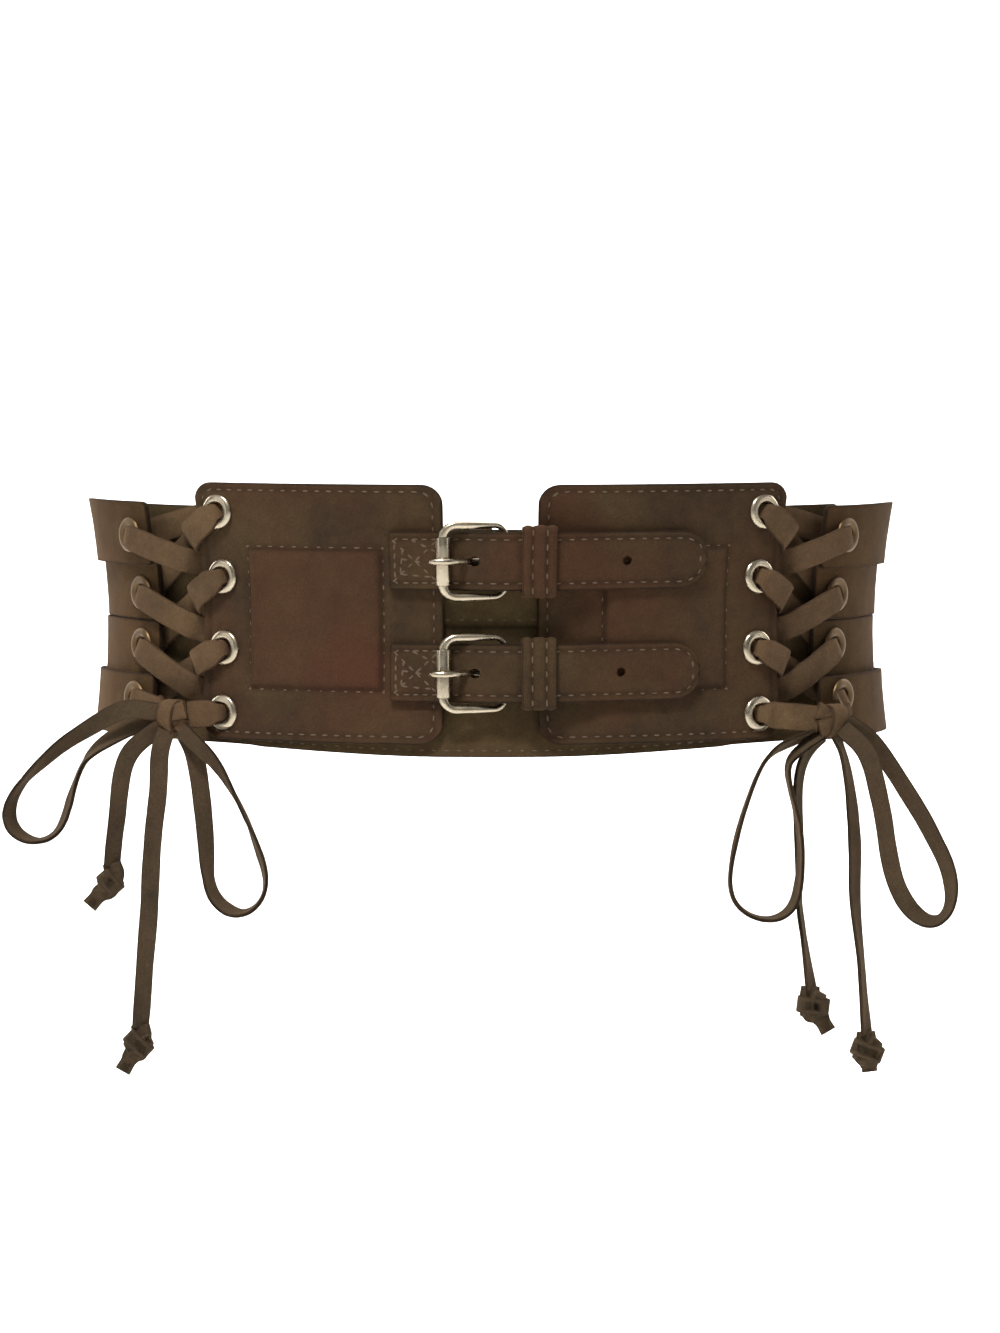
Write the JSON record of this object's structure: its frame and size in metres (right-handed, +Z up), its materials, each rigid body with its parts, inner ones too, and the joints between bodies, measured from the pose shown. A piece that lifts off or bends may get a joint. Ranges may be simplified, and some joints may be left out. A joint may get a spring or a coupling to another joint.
{
  "type": "corset belt",
  "caption": "Wide suede waist belt with stitched front panels joined by buckled straps, straps round the back, and a laced and bow-tied gap at each side.",
  "frame": {"origin": "centre of the waist opening, at mid-height of the straps round the back", "axes": "-Y towards the wearer's front, +X to the right in the picture, +Z up"},
  "size_m": [0.3128, 0.2134, 0.1937],
  "materials": {
    "panel_suede": "dark brown suede, matt",
    "strap_suede": "brown suede, matt",
    "base_suede": "dark olive brown suede, matt",
    "thong_suede": "brown suede thong, matt",
    "nickel": "pale warm nickel, polished"
  },
  "bodies": {
    "root": {"front_base": "base_suede", "back_strap_1": "strap_suede", "back_strap_2": "strap_suede", "back_strap_3": "strap_suede", "back_strap_4": "strap_suede", "left_panel": "panel_suede", "right_panel": "panel_suede", "upper_billet": "panel_suede", "upper_chape": "panel_suede", "upper_keeper": "panel_suede", "upper_buckle_frame": "nickel", "upper_buckle_roller": "nickel", "upper_buckle_prong": "nickel", "lower_billet": "panel_suede", "lower_chape": "panel_suede", "lower_keeper": "panel_suede", "lower_buckle_frame": "nickel", "lower_buckle_roller": "nickel", "lower_buckle_prong": "nickel", "left_panel_eyelet_1": "nickel", "left_panel_eyelet_2": "nickel", "left_panel_eyelet_3": "nickel", "left_panel_eyelet_4": "nickel", "left_strap_eyelet_1": "nickel", "left_strap_eyelet_2": "nickel", "left_strap_eyelet_3": "nickel", "left_strap_eyelet_4": "nickel", "right_panel_eyelet_1": "nickel", "right_panel_eyelet_2": "nickel", "right_panel_eyelet_3": "nickel", "right_panel_eyelet_4": "nickel", "right_strap_eyelet_1": "nickel", "right_strap_eyelet_2": "nickel", "right_strap_eyelet_3": "nickel", "right_strap_eyelet_4": "nickel", "left_lacing": "thong_suede", "right_lacing": "thong_suede", "left_bow_knot": "thong_suede", "right_bow_knot": "thong_suede", "left_outer_loop": "thong_suede", "left_inner_loop": "thong_suede", "right_inner_loop": "thong_suede", "right_outer_loop": "thong_suede", "left_short_tail": "thong_suede", "left_long_tail": "thong_suede", "right_first_tail": "thong_suede", "right_second_tail": "thong_suede", "left_short_tail_knot": "thong_suede", "left_long_tail_knot": "thong_suede", "right_first_tail_knot": "thong_suede", "right_second_tail_knot": "thong_suede"}
  },
  "joints": []
}
